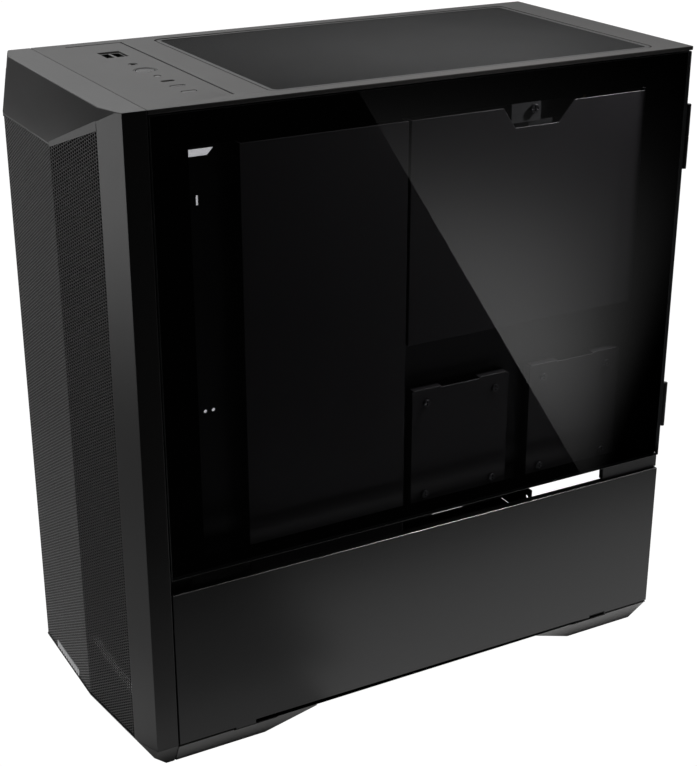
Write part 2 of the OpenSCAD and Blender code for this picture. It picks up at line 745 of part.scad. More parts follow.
foot_top = 18.3;
foot_in = 86;
foot_lean = (hw - foot_x) / panel_z0;
module foot(points) {
    difference() {
        intersection() {
            along_x(foot_in, hw, points);
            along_y(-260, 260, [
                [foot_in, 0], [foot_x, 0], [foot_x + foot_lean * foot_top, foot_top], [foot_in, foot_top]
            ]);
        }
        for (tab = tabs)
            span([104, tab[0] - 1.2, 17.4], [hw + 1, tab[1] + 1.2, 19]);
    }
}
module foot_front_pair() {
    color([0.2, 0.2, 0.2]) both_sides() difference() {
        foot([[-196.8, 0.8], [-122.7, 0.8], [-81.6, 16.4], [-81.6, foot_top], [-196.8, foot_top]]);
        span([88.9, -190, 0], [101.1, -128, 1.8]);
    }
}
module foot_rear_pair() {
    color([0.2, 0.2, 0.2]) both_sides() difference() {
        foot([[162, 0.8], [226.5, 0.8], [236, foot_top], [123, foot_top], [123, 17.4]]);
        span([88.9, 165, 0], [101.1, 224, 1.8]);
    }
}
module foot_pads() {
    color([0.03, 0.03, 0.03]) both_sides() {
        span([89, -189.9, 0], [101, -128.1, 1.8]);
        span([89, 165.1, 0], [101, 223.9, 1.8]);
    }
}

// ---------- power supply filter ----------

module psu_filter() {
    color([0.04, 0.04, 0.04]) {
        difference() {
            span([-74, 72, 15.6], [74, 236.2, 18.2]);
            for (x = [-69, 2])
                span([x, 78, 15], [x + 67, 218, 17.4]);
        }
        span([-30, 236.2, 12.2], [30, 238.2, 18.2]);
    }
}

module filter_rails() {
    color([0.03, 0.03, 0.033]) both_sides() {
        span([74.5, 74, 13.6], [75.7, 234, base_z0]);
        span([71, 74, 13.6], [74.5, 234, 14.8]);
    }
}

base_plate();
front_frame();
rear_panel();
top_frame();
board_tray();
psu_shroud();
slot_covers();
slot_clamp();
slot_screws();
board_standoffs();
cable_grommets();
cable_cover_front();
cable_cover_rear();
cover_clip();
cover_screws();
ssd_tray_front();
ssd_tray_rear();
ssd_screws();
drive_cage();
drive_tray_upper();
drive_tray_lower();
front_fan_frame_upper();
front_fan_rotor_upper();
front_fan_frame_lower();
front_fan_rotor_lower();
rear_fan_frame();
rear_fan_rotor();
fan_screws();
front_shell();
front_mesh();
front_skirt();
front_clips();
front_trim_bar();
front_filter();
top_cover();
top_filter_frame();
top_filter_mesh();
io_board();
usb_ports();
usb_c_port();
audio_jack();
power_button();
power_ring();
reset_button();
mode_button();
color_button();
glass_door_right();
glass_door_left();
door_hinges_right();
door_hinges_left();
hinge_brackets_right();
hinge_brackets_left();
door_magnets();
lower_panel_right();
lower_panel_left();
foot_front_pair();
foot_rear_pair();
foot_pads();
psu_filter();
filter_rails();
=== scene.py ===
import json

import bmesh
import bpy
import numpy as np
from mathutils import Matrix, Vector


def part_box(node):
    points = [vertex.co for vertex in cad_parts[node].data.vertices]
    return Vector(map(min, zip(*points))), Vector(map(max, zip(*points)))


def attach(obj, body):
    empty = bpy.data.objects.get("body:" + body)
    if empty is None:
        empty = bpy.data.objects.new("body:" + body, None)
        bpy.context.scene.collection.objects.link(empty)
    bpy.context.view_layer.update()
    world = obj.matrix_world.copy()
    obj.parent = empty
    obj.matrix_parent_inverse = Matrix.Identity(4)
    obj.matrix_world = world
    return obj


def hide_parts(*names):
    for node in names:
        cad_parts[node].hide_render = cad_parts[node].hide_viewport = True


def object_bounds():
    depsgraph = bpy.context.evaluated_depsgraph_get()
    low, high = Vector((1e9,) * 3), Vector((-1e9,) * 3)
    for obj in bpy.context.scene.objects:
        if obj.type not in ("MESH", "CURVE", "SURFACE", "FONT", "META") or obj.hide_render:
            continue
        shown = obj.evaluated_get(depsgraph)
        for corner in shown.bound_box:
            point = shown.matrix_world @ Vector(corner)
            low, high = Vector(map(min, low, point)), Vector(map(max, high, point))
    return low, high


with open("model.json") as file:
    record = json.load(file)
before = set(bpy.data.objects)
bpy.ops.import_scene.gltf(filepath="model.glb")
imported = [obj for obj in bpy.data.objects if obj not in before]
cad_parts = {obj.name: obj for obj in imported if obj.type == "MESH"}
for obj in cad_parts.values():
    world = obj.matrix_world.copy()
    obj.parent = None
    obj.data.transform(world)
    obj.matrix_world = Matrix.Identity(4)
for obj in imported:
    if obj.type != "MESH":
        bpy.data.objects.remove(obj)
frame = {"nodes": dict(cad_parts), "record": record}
cad_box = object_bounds()
scene = bpy.context.scene
scene.view_settings.view_transform = "Standard"

# ---------------------------------------------------------------------------------------------
# Camera and studio. The case stands on a lit white table, seen from its front right corner.
# Beyond the right-hand side the table gives no light, and a pool of light lies behind that, so
# that the glass shows a dark and a light half, split by a straight edge.

azimuth, elevation = np.radians(61.2844), np.radians(22.8835)
sight = Vector((
    -np.sin(azimuth) * np.cos(elevation),
    np.cos(azimuth) * np.cos(elevation),
    -np.sin(elevation),
))
camera_data = bpy.data.cameras.new("camera")
camera_data.lens = 73.923
camera_data.sensor_width = 36
camera = bpy.data.objects.new("camera", camera_data)
camera.location = (1.02006, -0.55107, 0.71747)
camera.rotation_mode = "QUATERNION"
camera.rotation_quaternion = sight.to_track_quat("-Z", "Y")
scene.collection.objects.link(camera)
scene.camera = camera


def glow(name, strength):
    """Plain white light of one strength."""
    material = bpy.data.materials.new(name)
    material.use_nodes = True
    tree = material.node_tree
    tree.nodes.clear()
    lamp = tree.nodes.new("ShaderNodeEmission")
    lamp.inputs["Color"].default_value = (1, 1, 1, 1)
    lamp.inputs["Strength"].default_value = strength
    output = tree.nodes.new("ShaderNodeOutputMaterial")
    tree.links.new(lamp.outputs[0], output.inputs["Surface"])
    return material


def studio_board(name, corners, material, seen=False):
    """Flat board through the given corners, which belongs to the studio and not to the case."""
    mesh = bpy.data.meshes.new(name)
    mesh.from_pydata(corners, [], [tuple(range(len(corners)))])
    mesh.materials.append(material)
    board = bpy.data.objects.new(name, mesh)
    scene.collection.objects.link(board)
    board.visible_camera = seen
    board.visible_shadow = False
    return board


def floor_field(name, x0, x1, y0, y1, strength):
    """Glowing part of the table between two corners, which the camera doesn't see as such."""
    corners = [(x, y, 0.0003) for x, y in ((x0, y0), (x1, y0), (x1, y1), (x0, y1))]
    studio_board(name, corners, glow(name, strength))


def wall(name, from_azimuth, to_azimuth, from_height, to_height, strength, distance=4.5):
    """Curved reflector round the case, between two azimuths in degrees from the front towards the
    right, and between two heights in degrees above the table."""
    turn = np.radians(np.linspace(from_azimuth, to_azimuth, 9))
    points = [
        (distance * np.cos(lift) * np.sin(a), -distance * np.cos(lift) * np.cos(a), distance * np.sin(lift))
        for lift in np.radians([from_height, to_height]) for a in turn
    ]
    mesh = bpy.data.meshes.new(name)
    mesh.from_pydata(points, [], [(k, k + 1, k + 10, k + 9) for k in range(8)])
    mesh.materials.append(glow(name, strength))
    board = bpy.data.objects.new(name, mesh)
    scene.collection.objects.link(board)
    board.visible_camera = False
    board.visible_shadow = False


half_width, half_depth = cad_box[1][0], cad_box[1][1]
reach = 7
table_corners = [(-reach, -reach, 0), (reach, -reach, 0), (reach, reach, 0), (-reach, reach, 0)]
table = studio_board("table", table_corners, glow("white_table", 1.05), seen=True)
table.visible_diffuse = table.visible_glossy = False
board_x, board_y, board_slope = 0.31, 0.334, 0.4006
floor_field("floor_beside_rim_front", half_width, 0.19, -0.3, -0.06, 0.42)
floor_field("floor_beside_rim_rear", half_width, 0.19, -0.06, 0.7, 0.85)
floor_field("floor_beside_front", 0.19, board_x, -0.5, -0.02, 0.2)
floor_field("floor_beside_rear", 0.19, board_x, -0.02, 0.7, 0.8)
floor_field("floor_front_rim", -0.5, 0.19, -0.34, -half_depth, 0.6)
floor_field("floor_front_near", -0.7, board_x, -0.62, -0.34, 0.35)
floor_field("floor_front_far", -2.2, board_x, -4, -1.2, 2.4)
floor_field("floor_left_near", -0.5, -half_width, -half_depth, 0.8, 0.9)
floor_field("floor_left_far", -5, -0.5, -1.2, 1.5, 0.34)
floor_field("floor_behind", -half_width, half_width, half_depth, 2, 0.8)
wall("wall_front_left", 315, 355, 20, 50, 0.85)
wall("wall_left", 245, 312, 20, 50, 1.45)
wall("wall_left_low", 250, 338, 0, 20, 0.13)
wall("wall_back_left", 203, 245, 20, 50, 0.9)
wall("wall_back_low", 160, 203, 0, 20, 1.0)

# A fan of light lies on the table beyond the rear right corner, cut off along a straight edge
fan_paint = glow("fan_of_light", 1.0)
fan_tree = fan_paint.node_tree
fan_place = fan_tree.nodes.new("ShaderNodeTexCoord")
board_turn = np.arctan(board_slope)


def fan_sum(direction):
    """Distance from the near corner of the fan along a direction on the table."""
    start = fan_tree.nodes.new("ShaderNodeVectorMath")
    start.operation = "SUBTRACT"
    start.inputs[1].default_value = (board_x, board_y, 0)
    along = fan_tree.nodes.new("ShaderNodeVectorMath")
    along.operation = "DOT_PRODUCT"
    along.inputs[1].default_value = (*direction, 0)
    fan_tree.links.new(fan_place.outputs["Object"], start.inputs[0])
    fan_tree.links.new(start.outputs[0], along.inputs[0])
    return along.outputs["Value"]


def fan_math(operation, one, two):
    """The result of an operation on two values, each a number or a node's output."""
    node = fan_tree.nodes.new("ShaderNodeMath")
    node.operation = operation
    for socket, value in zip(node.inputs, (one, two)):
        if isinstance(value, (int, float)):
            socket.default_value = value
        else:
            fan_tree.links.new(value, socket)
    return node.outputs[0]


def fan_step(value, low, high, first, last):
    """A smooth step from first to last as the value goes from low to high."""
    node = fan_tree.nodes.new("ShaderNodeMapRange")
    node.interpolation_type = "SMOOTHSTEP"
    fan_tree.links.new(value, node.inputs["Value"])
    for name, number in (("From Min", low), ("From Max", high), ("To Min", first), ("To Max", last)):
        node.inputs[name].default_value = number
    return node.outputs[0]


fan_along = fan_sum((np.cos(board_turn), np.sin(board_turn)))
fan_aside = fan_sum((-np.sin(board_turn), np.cos(board_turn)))
fan_spread = fan_step(fan_math("DIVIDE", fan_aside, fan_along), 0.03, 0.47, 1, 0)
fan_rise = fan_step(fan_along, 0, 0.45, 0, 1)
fan_fall = fan_math("DIVIDE", 1.15, fan_math("ADD", 1, fan_math("POWER", fan_along, 5)))
fan_strength = fan_math("MULTIPLY", fan_math("MULTIPLY", fan_spread, fan_rise), fan_fall)
fan_tree.links.new(fan_strength, fan_tree.nodes["Emission"].inputs["Strength"])
far = 4.0
studio_board(
    "fan_board",
    [(board_x, board_y, 0.0006), (far, board_y + (far - board_x) * board_slope, 0.0006), (far, far, 0.0006),
     (board_x, far, 0.0006)],
    fan_paint,
)

# A small lamp above the rear right corner shines down along the covers behind the glass and along
# the edges of the sheet metal. It lights, and is shaded by, only the pieces that are named later.
edge_lamp_data = bpy.data.lights.new("edge_lamp", "POINT")
edge_lamp_data.energy = 4.5
edge_lamp_data.shadow_soft_size = 0.012
edge_lamp = bpy.data.objects.new("edge_lamp", edge_lamp_data)
edge_lamp.location = (0.16, 0.30, 0.62)
scene.collection.objects.link(edge_lamp)
lamp_lit = bpy.data.collections.new("lit_by_edge_lamp")
edge_lamp.light_linking.receiver_collection = lamp_lit
edge_lamp.light_linking.blocker_collection = lamp_lit

# Two soft lamps hang beside it: one over the right rail lights the top without a highlight, and one
# in the plane of the lower panel draws its upper edge and the rim of the base plate below. Each
# lights only pieces that are named later, and nothing shades them.
top_lit = bpy.data.collections.new("lit_by_top_lamp")
hem_lit = bpy.data.collections.new("lit_by_hem_lamp")
unshaded = bpy.data.collections.new("nothing_in_the_way")
for name, energy, spot, lit in (
    ("top_lamp", 3.9, (0.13, 0.08, 0.68), top_lit),
    ("hem_lamp", 62, (0.108, 0.3, 0.62), hem_lit),
):
    lamp_data = bpy.data.lights.new(name, "POINT")
    lamp_data.energy = energy
    lamp_data.shadow_soft_size = 0.05
    lamp = bpy.data.objects.new(name, lamp_data)
    lamp.location = spot
    lamp.visible_glossy = name == "hem_lamp"
    scene.collection.objects.link(lamp)
    lamp.light_linking.receiver_collection = lit
    lamp.light_linking.blocker_collection = unshaded

world = bpy.data.worlds.new("studio")
world.use_nodes = True
scene.world = world
sky = world.node_tree.nodes["Background"]
sky.inputs["Color"].default_value = (1, 1, 1, 1)
sky.inputs["Strength"].default_value = 0.007
backdrop = world.node_tree.nodes.new("ShaderNodeBackground")
backdrop.inputs["Strength"].default_value = 1.05
seen_by = world.node_tree.nodes.new("ShaderNodeLightPath")
either = world.node_tree.nodes.new("ShaderNodeMixShader")
world_links = world.node_tree.links
world_links.new(seen_by.outputs["Is Camera Ray"], either.inputs[0])
world_links.new(sky.outputs[0], either.inputs[1])
world_links.new(backdrop.outputs[0], either.inputs[2])
world_links.new(either.outputs[0], world.node_tree.nodes["World Output"].inputs["Surface"])

# ---------------------------------------------------------------------------------------------
# Steel chassis. Base plate, front frame, rear panel, top frame, board tray and shroud are folded
# from 1.2 mm steel sheet, riveted together and powder coated black, with a fine even texture.

record = frame["record"]
home_of = {node: body for body, nodes in record["behaviour"]["bodies"].items() for node in nodes}


def finish(name, colour, roughness, grain, relief, metallic=0.0, drift=0.12, specular=0.5):
    """A finish in the piece's own coordinates. A coarse noise drifts the colour and roughness by the
    given share, and a fine noise, grain metres across, raises the surface by relief metres."""
    material = bpy.data.materials.new(name)
    material.use_nodes = True
    tree = material.node_tree
    shader = tree.nodes["Principled BSDF"]
    shader.inputs["Metallic"].default_value = metallic
    shader.inputs["Specular IOR Level"].default_value = specular
    place = tree.nodes.new("ShaderNodeTexCoord")
    cloud = tree.nodes.new("ShaderNodeTexNoise")
    cloud.inputs["Scale"].default_value = 22
    cloud.inputs["Detail"].default_value = 3
    fine = tree.nodes.new("ShaderNodeTexNoise")
    fine.inputs["Scale"].default_value = 1 / grain
    fine.inputs["Detail"].default_value = 2
    shade = tree.nodes.new("ShaderNodeMix")
    shade.data_type = "RGBA"
    shade.inputs["A"].default_value = (*(part * (1 - drift) for part in colour), 1)
    shade.inputs["B"].default_value = (*(part * (1 + drift) for part in colour), 1)
    rough = tree.nodes.new("ShaderNodeMapRange")
    rough.inputs["To Min"].default_value = roughness * (1 - drift / 2)
    rough.inputs["To Max"].default_value = roughness * (1 + drift / 2)
    bump = tree.nodes.new("ShaderNodeBump")
    bump.inputs["Distance"].default_value = relief
    for noise in (cloud, fine):
        tree.links.new(place.outputs["Object"], noise.inputs["Vector"])
    tree.links.new(cloud.outputs[0], shade.inputs["Factor"])
    tree.links.new(cloud.outputs[0], rough.inputs["Value"])
    tree.links.new(fine.outputs[0], bump.inputs["Height"])
    tree.links.new(shade.outputs["Result"], shader.inputs["Base Color"])
    tree.links.new(rough.outputs[0], shader.inputs["Roughness"])
    tree.links.new(bump.outputs[0], shader.inputs["Normal"])
    return material


def fitted(piece, node, replaces=True):
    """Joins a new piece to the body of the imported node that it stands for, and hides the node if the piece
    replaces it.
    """
    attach(piece, home_of[node])
    if replaces:
        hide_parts(node)
    return piece


def eased(node, edge, material, segments=2):
    """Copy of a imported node, its triangles welded into flat faces, with every edge sharper than 35
    degrees rounded to the given radius, as a press, a mould or a deburring wheel leaves it."""
    form = bmesh.new()
    form.from_mesh(frame["nodes"][node].data)
    bmesh.ops.remove_doubles(form, verts=form.verts, dist=1e-6)
    bmesh.ops.dissolve_limit(form, angle_limit=np.radians(0.6), verts=form.verts, edges=form.edges)
    mesh = bpy.data.meshes.new(node + "_form")
    form.to_mesh(mesh)
    form.free()
    mesh.materials.clear()
    mesh.materials.append(material)
    mesh.polygons.foreach_set("use_smooth", np.ones(len(mesh.polygons), bool))
    mesh.set_sharp_from_angle(angle=np.radians(30))
    piece = bpy.data.objects.new(node + "_form", mesh)
    scene.collection.objects.link(piece)
    rounding = piece.modifiers.new("rounding", "BEVEL")
    rounding.width = edge
    rounding.segments = segments
    rounding.limit_method = "ANGLE"
    rounding.angle_limit = np.radians(35)
    rounding.use_clamp_overlap = False
    rounding.harden_normals = True
    return fitted(piece, node)


chassis_coat = finish("chassis_powder_coat", (0.018, 0.018, 0.019), 0.5, 0.0006, 0.000012)
for node in ("base_plate", "front_frame", "top_frame", "board_tray", "psu_shroud"):
    eased(node, 0.0003, chassis_coat)
lamp_lit.objects.link(eased("rear_panel", 0.0003, chassis_coat))

# ---------------------------------------------------------------------------------------------
# Expansion slots. Seven vented covers close the slots of the rear panel. A clamp bar holds their
# ends, fixed by two slotted screws.

for node in ("slot_covers", "slot_clamp"):
    eased(node, 0.00025, chassis_coat)
screw_zinc = finish("black_zinc", (0.09, 0.09, 0.095), 0.32, 0.0004, 0.000004, metallic=0.85)
eased("slot_screws", 0.0002, screw_zinc)

# ---------------------------------------------------------------------------------------------
# Board tray fittings. Nine hexagonal brass standoffs carry the main board, and three rubber
# grommets line the openings that its cables pass through.

brass = finish("turned_brass", (0.62, 0.44, 0.19), 0.28, 0.0005, 0.000003, metallic=1.0)
eased("board_standoffs", 0.0002, brass)
rubber = finish("black_rubber", (0.012, 0.012, 0.012), 0.72, 0.0008, 0.00001, specular=0.3)
eased("cable_grommets", 0.0005, rubber)

# ---------------------------------------------------------------------------------------------
# Cable side. Two folded covers hide the cables behind the tray. A small bracket with a screw
# shows in the notch of the rear one, and two sleds for 2.5 inch drives hang below it.

cover_coat = finish("cover_powder_coat", (0.023, 0.0215, 0.0235), 0.45, 0.0012, 0.00006)
for node in ("cable_cover_front", "cable_cover_rear", "ssd_tray_front", "ssd_tray_rear"):
    lamp_lit.objects.link(eased(node, 0.0005, cover_coat))
clip_coat = finish("clip_coat", (0.06, 0.06, 0.062), 0.4, 0.0005, 0.00001)
lamp_lit.objects.link(eased("cover_clip", 0.0003, clip_coat))
for node in ("cover_screws", "ssd_screws"):
    lamp_lit.objects.link(eased(node, 0.00025, screw_zinc))

# ---------------------------------------------------------------------------------------------
# Drive cage. A steel cage under the shroud, folded and powder coated like the rest of the
# chassis, holds two moulded trays for 3.5 inch drives.

eased("drive_cage", 0.0003, chassis_coat)
tray_plastic = finish("tray_plastic", (0.016, 0.016, 0.017), 0.42, 0.0009, 0.00001)
for node in ("drive_tray_upper", "drive_tray_lower"):
    eased(node, 0.0005, tray_plastic)

# ---------------------------------------------------------------------------------------------
# Fans. Two of 140 mm draw air in at the front and one of 120 mm blows it out at the back. Each
# has a moulded frame with a motor seat on three struts, and a rotor whose blades are curved.

fan_plastic = finish("fan_plastic", (0.014, 0.014, 0.015), 0.4, 0.001, 0.000008)
for node in ("front_fan_frame_upper", "front_fan_frame_lower", "rear_fan_frame"):
    eased(node, 0.0006, fan_plastic)
eased("fan_screws", 0.0003, screw_zinc)


def grid_faces(rows, columns, offset=0, closed=False):
    """Quads of a grid of points, row by row. A closed grid joins its last column to its first."""
    width = columns if closed else columns - 1
    row, column = np.meshgrid(np.arange(rows - 1), np.arange(width), indexing="ij")
    here = row * columns + column
    right = row * columns + (column + 1) % columns
    quads = np.stack([here, right, right + columns, here + columns], -1)
    return quads.reshape(-1, 4) + offset


def mesh_piece(name, points, faces, material, smooth_angle=30):
    """Object from an array of points in metres and lists of faces, smooth up to the given angle."""
    mesh = bpy.data.meshes.new(name)
    places = np.asarray(points, float).reshape(-1, 3).tolist()
    mesh.from_pydata(places, [], [list(map(int, face)) for face in faces])
    mesh.materials.append(material)
    mesh.polygons.foreach_set("use_smooth", np.ones(len(mesh.polygons), bool))
    mesh.update()
    mesh.set_sharp_from_angle(angle=np.radians(smooth_angle))
    piece = bpy.data.objects.new(name, mesh)
    scene.collection.objects.link(piece)
    return piece


def turned_points(profile, sides=48):
    """Points of a profile of (radius, height) pairs turned about the height axis, one ring a pair."""
    angle = np.linspace(0, 2 * np.pi, sides, endpoint=False)
    radius, height = np.asarray(profile, float).T
    ring = np.stack([np.outer(radius, np.cos(angle)), np.outer(radius, np.sin(angle))], -1)
    level = np.broadcast_to(height[:, None, None], ring.shape[:2] + (1,))
    return np.concatenate([ring, level], -1)


def rotor(node, blades=9):
    """Hub cup turned from a profile, with blades whose sections turn from steep at the hub to flat at
    the tip. A section is a cambered strip, thickest in the middle, closed round its edges."""
    low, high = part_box(node)
    centre = (low + high) / 2
    tip = (high.x - low.x) / 2
    start = low.y
    root, depth = 0.0195, high.y - low.y
    cup = [(0.0002, 0.0008), (0.016, 0.0004), (0.0185, 0.0012), (root, 0.003), (root, depth - 0.0005),
           (root - 0.002, depth - 0.0005), (root - 0.002, 0.004), (0.0002, 0.004)]
    hub = turned_points(cup)
    points = [hub.reshape(-1, 3)]
    faces = list(grid_faces(len(cup), 48, closed=True))
    faces += [tuple(range(47, -1, -1)), tuple((len(cup) - 1) * 48 + np.arange(48))]
    count = hub.size // 3
    stations, around = 10, 24
    share = np.linspace(0, 1, stations)[:, None]
    turn = np.linspace(0, 2 * np.pi, around, endpoint=False)[None, :]
    reach_out = root - 0.0008 + share * (tip - root + 0.0008)
    chord = 0.0225 + 0.021 * share - 0.004 * share ** 4
    pitch_angle = np.radians(48 - 20 * share)
    along = np.cos(turn) * chord / 2
    thick = np.sin(turn) * 0.0009 + 0.0032 * (1 - np.cos(turn) ** 2)
    sweep = np.radians(13) * share ** 1.5
    rise = along * np.sin(pitch_angle) + thick * np.cos(pitch_angle)
    aside = along * np.cos(pitch_angle) - thick * np.sin(pitch_angle)
    rise = np.clip(rise, -depth / 2 + 0.001, depth / 2 - 0.001)
    for blade in range(blades):
        spin = 2 * np.pi * blade / blades + sweep + aside / reach_out
        block = np.stack([reach_out * np.cos(spin), reach_out * np.sin(spin), rise + depth / 2], -1)
        points.append(block.reshape(-1, 3))
        faces += list(grid_faces(stations, around, count, closed=True)[:, ::-1])
        faces.append(tuple(count + np.arange(around)))
        faces.append(tuple(count + (stations - 1) * around + np.arange(around)[::-1]))
        count += stations * around
    place = np.concatenate(points)
    place = np.stack([place[:, 0] + centre.x, place[:, 2] + start, centre.z - place[:, 1]], -1)
    return fitted(mesh_piece(node + "_blades", place, faces, fan_plastic, 40), node)


for node in ("front_fan_rotor_upper", "front_fan_rotor_lower", "rear_fan_rotor"):
    rotor(node)

# ---------------------------------------------------------------------------------------------
# Front panel. A moulded shell with a brow, two side edges and a chin carries a folded sheet of
# perforated steel, and a light grey skirt below. A plain silver bar closes the foot of the mesh.

shell_plastic = finish("shell_plastic", (0.0265, 0.0255, 0.0255), 0.36, 0.0009, 0.00003)
eased("front_shell", 0.0005, shell_plastic, 3)
eased("front_clips", 0.0003, tray_plastic)
skirt_plastic = finish("light_grey_plastic", (0.085, 0.084, 0.083), 0.45, 0.0008, 0.000014)
eased("front_skirt", 0.0005, skirt_plastic)
bar_metal = finish("satin_silver", (0.62, 0.62, 0.63), 0.3, 0.0005, 0.000003, metallic=1.0)
filter_cloth = finish("filter_cloth", (0.005, 0.005, 0.005), 0.9, 0.0005, 0.00003, specular=0.1)
eased("front_filter", 0.0003, filter_cloth)

hole_pitch = 0.00234
hole_flat = 0.00158
column_step = hole_pitch * np.sqrt(3) / 2
sheet_depth = 0.0005
sheet_gauge = 0.001
shell_low, shell_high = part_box("front_shell")
mesh_low, mesh_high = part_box("front_mesh")
fold_x = 0.0489
face_y = shell_low.y
fold_angle = np.arctan2(0.0268, 0.0656)
brow_z, chin_z = 0.4642, 0.0402
brow_slope, chin_slope, lip = 1.176, 1.0605, 0.0016
band_height = 0.0066


def folded(across, height, depth):
    """Place on the three-sided front of a point across metres from the middle of the flat sheet, at a
    height, and depth metres behind the outer faces. The outer thirds fold back by the fold angle."""
    beyond = np.maximum(np.abs(across) - fold_x, 0)
    flat = np.minimum(np.abs(across), fold_x)
    mitre = depth * np.tan(fold_angle / 2) * flat / fold_x
    x = np.sign(across) * (flat - mitre + beyond * np.cos(fold_angle))
    y = face_y + depth + beyond * np.sin(fold_angle)
    return np.stack([x, y, height], -1)


def perforated(name, first, last):
    """Steel between staggered six-sided holes, in upright columns first to last. Neighbouring holes
    leave a straight web between them, and three of them a small triangle."""
    rows = int(0.5 / hole_pitch)
    column, row = np.meshgrid(np.arange(first, last + 1), np.arange(rows), indexing="ij")
    across = (column + 0.5) * column_step
    height = (row + 0.5 * (column % 2)) * hole_pitch
    outer_y = np.maximum(np.abs(across) - fold_x, 0) * np.sin(fold_angle)
    margin = 0.0013
    inside = height < brow_z + brow_slope * outer_y - lip + margin
    inside &= height > chin_z - chin_slope * outer_y + lip - margin
    bar_low, bar_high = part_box("front_trim_bar")
    under_bar = 0.0008
    beside_bar = np.abs(across) > bar_high.x - under_bar
    inside &= beside_bar | (height < bar_low.z + under_bar) | (height > bar_high.z - under_bar)
    corner = np.radians(60 * np.arange(6))
    radius = hole_flat / np.sqrt(3)
    points = folded(
        across[..., None] + radius * np.cos(corner),
        height[..., None] + radius * np.sin(corner),
        sheet_depth,
    )
    number = np.arange(points.size // 3).reshape(inside.shape + (6,))
    odd = (column % 2)[:-1, :]
    shift = np.arange(rows)[None, :] + np.where(odd == 1, 1, 0)
    over = np.minimum(shift, rows - 1)
    under = np.maximum(shift - 1, 0)
    side = np.arange(1, column.shape[0])[:, None]
    right_up, has_up = number[side, over], inside[side, over] & (shift < rows)
    right_down, has_down = number[side, under], inside[side, under] & (shift > 0)
    here, has = number[:-1], inside[:-1]
    above, has_above = number[:-1, 1:], inside[:-1, 1:]

    def pick(mask, *corners):
        return np.stack([c[mask] for c in corners], -1)

    webs = [
        pick(has[:, :-1] & has_above, here[:, :-1, 1], above[..., 5], above[..., 4], here[:, :-1, 2]),
        pick(has & has_up, here[..., 0], right_up[..., 4], right_up[..., 3], here[..., 1]),
        pick(has & has_down, here[..., 5], right_down[..., 3], right_down[..., 2], here[..., 0]),
    ]
    corners = [
        pick(
            has[:, :-1] & has_above & has_up[:, :-1],
            here[:, :-1, 1], right_up[:, :-1, 3], above[..., 5],
        ),
        pick(has & has_up & has_down, here[..., 0], right_down[..., 2], right_up[..., 4]),
    ]
    used = np.unique(np.concatenate([w.ravel() for w in webs + corners]))
    renumber = np.zeros(points.size // 3, int)
    renumber[used] = np.arange(len(used))
    faces = [tuple(f) for block in webs + corners for f in renumber[block].tolist()]
    piece = mesh_piece(name, points.reshape(-1, 3)[used], faces, mesh_paint)
    gauge = piece.modifiers.new("gauge", "SOLIDIFY")
    gauge.thickness = sheet_gauge
    gauge.offset = -1
    return fitted(piece, "front_mesh")


mesh_paint = finish("mesh_paint", (0.033, 0.032, 0.032), 0.36, 0.0006, 0.000006)
half_sheet = fold_x + (mesh_high.x - fold_x) / np.cos(fold_angle) + 0.0015
last_column = int(half_sheet / column_step)
fold_column = int(fold_x / column_step)
perforated("front_mesh_left", -last_column - 1, -fold_column - 1)
perforated("front_mesh_mid_left", -fold_column - 1, 0)
perforated("front_mesh_mid_right", 0, fold_column)
perforated("front_mesh_right", fold_column, last_column)


def rib_row(name, node, ribs, share):
    """Row of upright ribs, share of the pitch wide, standing on a thin strip as wide as the node. The
    section of a rib is a rectangle whose front corners are cut at 45 degrees."""
    low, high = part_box(node)
    pitch = (high.x - low.x) / ribs
    half = pitch * share / 2
    depth = high.y - low.y
    cut = min(half * 0.5, depth * 0.3)
    foot = depth * 0.6
    left = [(-half, foot), (-half, cut), (-half + cut, 0)]
    section = np.array(left + [(-x, y) for x, y in left[::-1]])
    middle = low.x + pitch * (np.arange(ribs) + 0.5)
    x = middle[:, None, None] + section[None, None, :, 0]
    z = np.array([low.z, high.z])[None, :, None]
    points = np.stack(np.broadcast_arrays(x, low.y + section[None, None, :, 1], z), -1)
    ring = np.arange(6)
    sides = np.stack([ring, (ring + 1) % 6, (ring + 1) % 6 + 6, ring + 6], -1)
    faces = []
    for rib in range(ribs):
        faces += [tuple(f) for f in (sides + 12 * rib)]
        faces += [tuple(12 * rib + ring[::-1]), tuple(12 * rib + 6 + ring)]
    back = np.array([(x, y, z) for z in (low.z, high.z) for x, y in (
        (low.x, high.y), (low.x, low.y + depth * 0.55), (high.x, low.y + depth * 0.55), (high.x, high.y))])
    four = np.arange(4)
    first = 12 * ribs
    faces += [tuple(f) for f in np.stack([four, (four + 1) % 4, (four + 1) % 4 + 4, four + 4], -1) + first]
    faces += [tuple(first + four[::-1]), tuple(first + 4 + four)]
    return fitted(mesh_piece(name, np.concatenate([points.reshape(-1, 3), back]), faces, bar_metal), node)


rib_row("front_trim_ribs", "front_trim_bar", 13, 0.52)


def brow_band(name, side):
    """Solid band of the shell between the brow and the perforation of an outer third of the front. It
    runs along the brow's edge, a constant height tall, from the fold to the outer edge of the mesh."""
    start, stop = fold_x + 0.0004, fold_x + (mesh_high.x - fold_x) / np.cos(fold_angle)
    across = np.array([start, stop])
    outer_y = (across - fold_x) * np.sin(fold_angle)
    top = brow_z + brow_slope * outer_y + 0.0008
    corners = []
    for depth in (-0.00005, sheet_depth + 0.0002):
        for height in (top - band_height * np.array([0.55, 1.0]), top):
            corners.append(folded(side * across, height, depth))
    a, b, c, d = corners
    points = np.concatenate([a, b, c, d])
    faces = [(0, 1, 3, 2), (4, 6, 7, 5), (0, 4, 5, 1), (2, 3, 7, 6), (0, 2, 6, 4), (1, 5, 7, 3)]
    if side < 0:
        faces = [face[::-1] for face in faces]
    return fitted(mesh_piece(name, points, faces, shell_plastic), "front_mesh", replaces=False)


